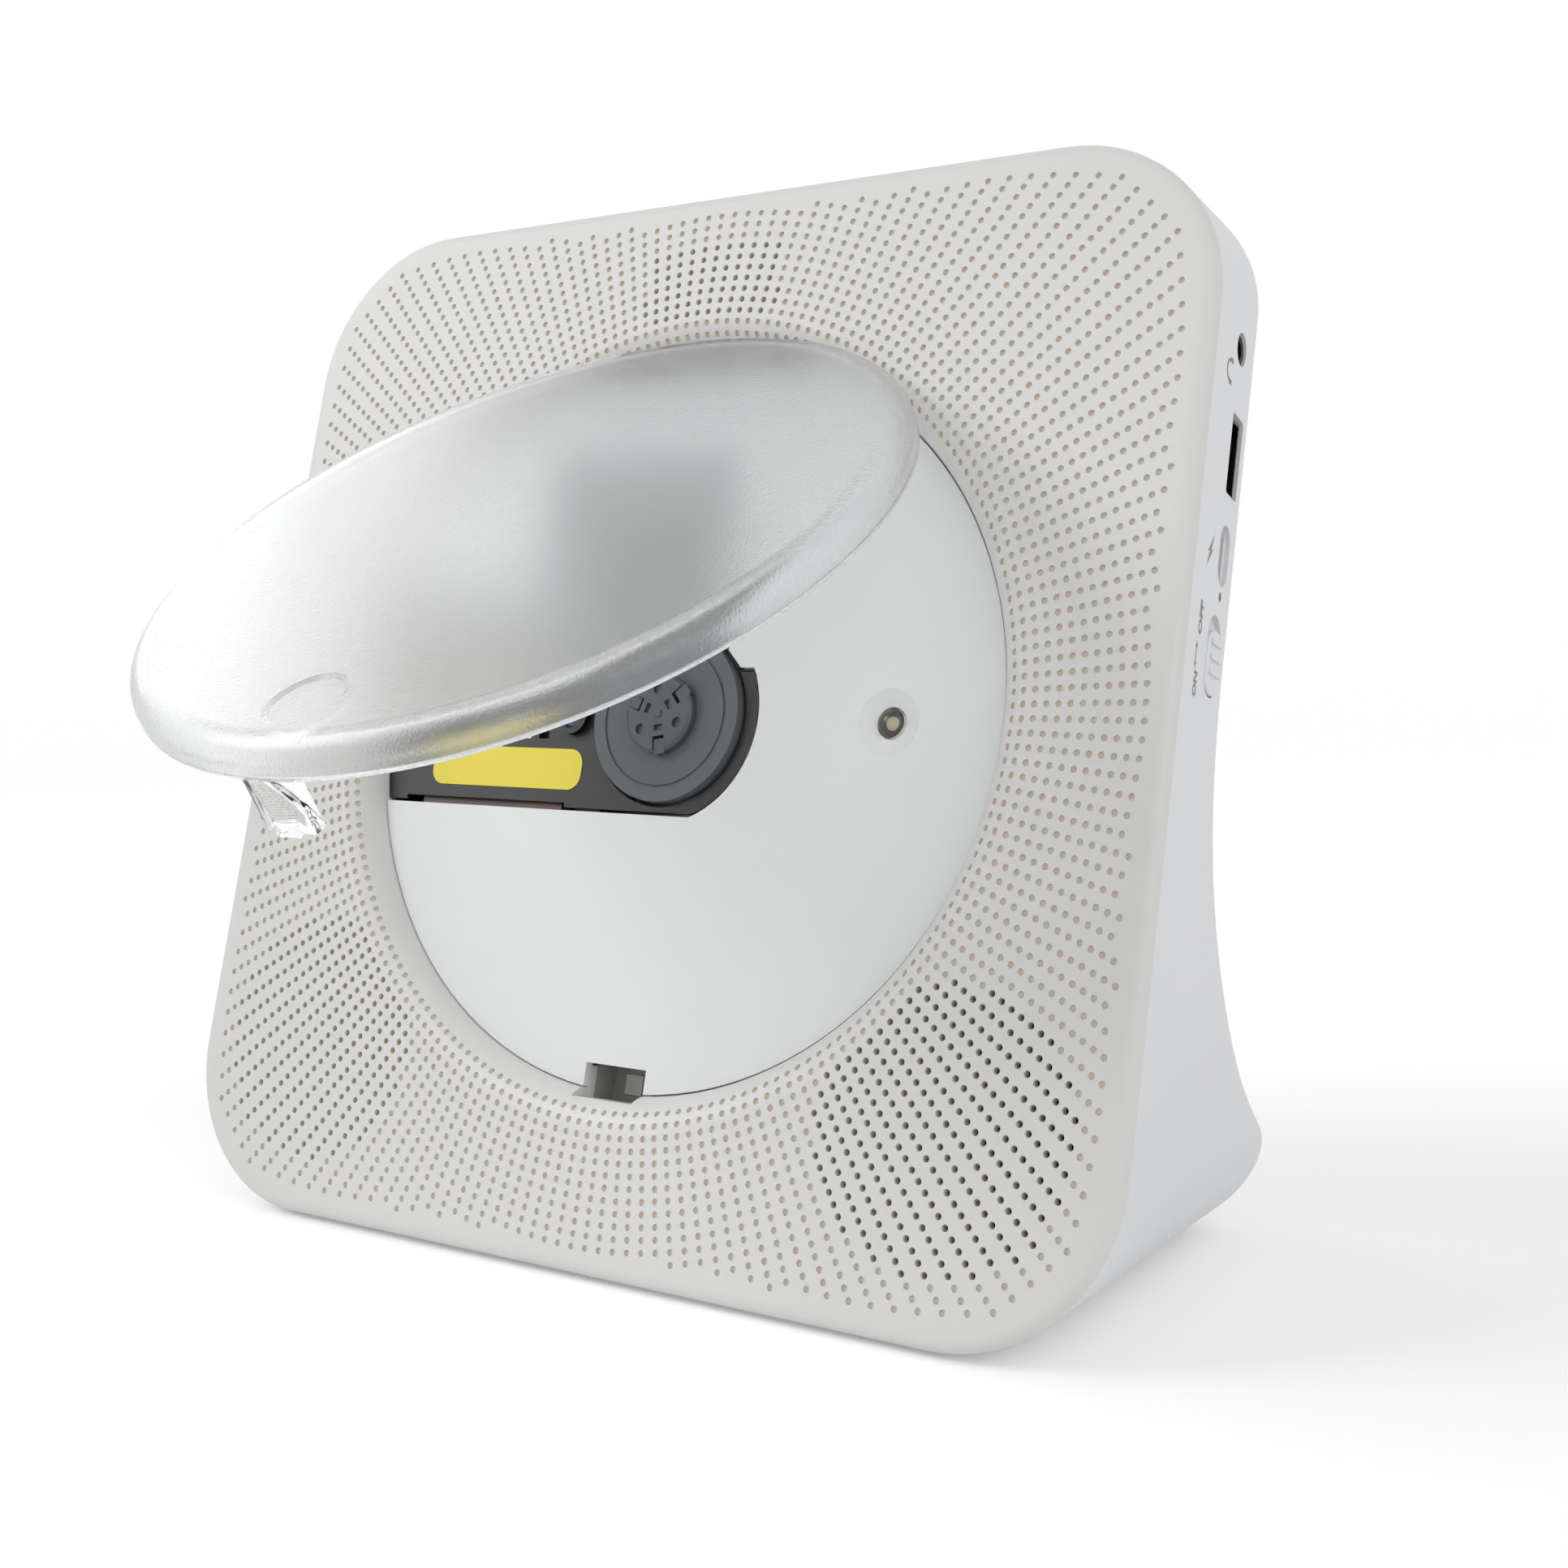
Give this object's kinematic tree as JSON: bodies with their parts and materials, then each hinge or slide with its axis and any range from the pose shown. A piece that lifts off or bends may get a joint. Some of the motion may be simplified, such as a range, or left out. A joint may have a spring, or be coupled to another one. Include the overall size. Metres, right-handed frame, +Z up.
{
  "type": "compact disc player",
  "caption": "Square compact disc player with a frosted top-hinged lid held open, a perforated front, a round disc well with laser mechanism and side sockets; leans back on a foot.",
  "frame": {"origin": "on the surface the player stands on, at the middle of its length and width with the lid open as modelled", "axes": "+Z up, +X to the viewer's right, the front with the disc well faces -Y and leans back 14.2 degrees"},
  "size_m": [0.205, 0.166, 0.1997],
  "materials": {
    "amber_film": "flexible film",
    "battery_wrap": "shrink wrap",
    "black_plastic": "matt",
    "board": "solder mask",
    "brass": "plain",
    "chrome": "polished",
    "frosted_plastic": "frosted clear",
    "grey_plastic": "matt",
    "label_paper": "bare yellow",
    "lamp_plastic": "clear with phosphor",
    "lens_glass": "coated",
    "pale_plastic": "fine satin",
    "paper_cone": "paper",
    "rubber": "matt",
    "steel": "zinc plated",
    "white_plastic": "satin"
  },
  "bodies": {
    "housing": {"battery_cradle": "black_plastic", "battery_pack": "battery_wrap", "board_components": "black_plastic", "case_screws": "steel", "charge_indicator": "lamp_plastic", "charge_socket": "white_plastic", "damper_body": "black_plastic", "deck_lamp": "lamp_plastic", "deck_plate": "pale_plastic", "deck_screws": "steel", "display_module": "black_plastic", "flex_cable": "amber_film", "front_cover": "pale_plastic", "guide_rods": "chrome", "headphone_jack": "black_plastic", "hinge_bracket": "steel", "hinge_pin": "steel", "infrared_receiver": "black_plastic", "inner_screws": "steel", "jack_board": "board", "key_board": "board", "key_switches": "black_plastic", "latch_case": "grey_plastic", "latch_spring": "steel", "lens_label": "label_paper", "lid_spring": "steel", "main_board": "board", "mechanism_chassis": "steel", "mechanism_cover": "black_plastic", "mount_grommets": "rubber", "power_switch": "black_plastic", "rear_housing": "pale_plastic", "rubber_feet": "rubber", "sled_motor": "steel", "speaker_cones": "paper_cone", "speaker_frames": "black_plastic", "speaker_magnets": "steel", "spindle_motor": "steel", "usb_insulator": "black_plastic", "usb_socket": "chrome"},
    "lid": {"lid": "frosted_plastic"},
    "damper": {"damper_gear": "white_plastic"},
    "latch": {"latch_slider": "white_plastic"},
    "power": {"power_knob": "pale_plastic"},
    "turntable": {"turntable_shaft": "chrome", "platter": "grey_plastic", "disc_hub": "black_plastic"},
    "jaw_1": {"hub_jaw_1": "black_plastic"},
    "jaw_2": {"hub_jaw_2": "black_plastic"},
    "jaw_3": {"hub_jaw_3": "black_plastic"},
    "sled": {"laser_sled": "black_plastic", "objective_lens": "lens_glass", "sled_rack": "white_plastic"},
    "sled_drive": {"sled_gear": "white_plastic"},
    "motor_drive": {"motor_pinion": "brass"},
    "previous": {"key_previous": "pale_plastic"},
    "play": {"key_play": "pale_plastic"},
    "next": {"key_next": "pale_plastic"},
    "volume_down": {"key_volume_down": "pale_plastic"},
    "volume_up": {"key_volume_up": "pale_plastic"}
  },
  "joints": [
    {"name": "lid_hinge", "type": "hinge", "parent": "housing", "child": "lid", "pos_m": [0, 0.03555, 0.16546], "axis": [1, 0, 0], "range_deg": [0, 43.2], "stiffness_Nm_per_rad": 0.02, "springref_deg": -126.05},
    {"name": "damper_spin", "type": "hinge", "parent": "housing", "child": "damper", "pos_m": [0, 0.04719, 0.16252], "axis": [1, 0, 0], "range_deg": [-90, 0]},
    {"name": "latch_slide", "type": "slide", "parent": "housing", "child": "latch", "axis": [0, 0.9694, -0.2453], "range_m": [0, 0.002], "stiffness_N_per_m": 200, "springref_m": -0.003, "deforming": ["latch_spring"]},
    {"name": "power_slide", "type": "slide", "parent": "housing", "child": "power", "axis": [0, 0.2453, 0.9694], "range_m": [0, 0.0023]},
    {"name": "turntable_spin", "type": "hinge", "parent": "housing", "child": "turntable", "pos_m": [0, 0.01949, 0.09897], "axis": [0, -0.9694, 0.2453], "continuous": true},
    {"name": "jaw_slide_1", "type": "slide", "parent": "turntable", "child": "jaw_1", "axis": [-0.766, -0.1577, -0.6231], "range_m": [0, 0.0005], "stiffness_N_per_m": 200, "springref_m": -0.001},
    {"name": "jaw_slide_2", "type": "slide", "parent": "turntable", "child": "jaw_2", "axis": [0.9397, -0.0839, -0.3316], "range_m": [0, 0.0005], "stiffness_N_per_m": 200, "springref_m": -0.001},
    {"name": "jaw_slide_3", "type": "slide", "parent": "turntable", "child": "jaw_3", "axis": [-0.1736, 0.2416, 0.9547], "range_m": [0, 0.0005], "stiffness_N_per_m": 200, "springref_m": -0.001},
    {"name": "sled_slide", "type": "slide", "parent": "housing", "child": "sled", "axis": [-1, 0, 0], "range_m": [0, 0.034]},
    {"name": "sled_gear_spin", "type": "hinge", "parent": "housing", "child": "sled_drive", "pos_m": [-0.03, 0.02615, 0.12122], "axis": [0, -0.9694, 0.2453], "range_deg": [-470, 0]},
    {"name": "motor_pinion_spin", "type": "hinge", "parent": "housing", "child": "motor_drive", "pos_m": [-0.01966, 0.02828, 0.12963], "axis": [0, -0.9694, 0.2453], "range_deg": [0, 2050]},
    {"name": "previous_press", "type": "slide", "parent": "housing", "child": "previous", "axis": [0, -0.2453, -0.9694], "range_m": [0, 0.0008], "stiffness_N_per_m": 200, "springref_m": -0.002},
    {"name": "play_press", "type": "slide", "parent": "housing", "child": "play", "axis": [0, -0.2453, -0.9694], "range_m": [0, 0.0008], "stiffness_N_per_m": 200, "springref_m": -0.002},
    {"name": "next_press", "type": "slide", "parent": "housing", "child": "next", "axis": [0, -0.2453, -0.9694], "range_m": [0, 0.0008], "stiffness_N_per_m": 200, "springref_m": -0.002},
    {"name": "volume_down_press", "type": "slide", "parent": "housing", "child": "volume_down", "axis": [0, -0.2453, -0.9694], "range_m": [0, 0.0008], "stiffness_N_per_m": 200, "springref_m": -0.002},
    {"name": "volume_up_press", "type": "slide", "parent": "housing", "child": "volume_up", "axis": [0, -0.2453, -0.9694], "range_m": [0, 0.0008], "stiffness_N_per_m": 200, "springref_m": -0.002}
  ],
  "couplings": [
    {"joint": "damper_spin", "follows": "lid_hinge", "ratio": -2},
    {"joint": "sled_gear_spin", "follows": "sled_slide", "rad_per_m": -238.1},
    {"joint": "motor_pinion_spin", "follows": "sled_slide", "rad_per_m": 1047.6}
  ]
}
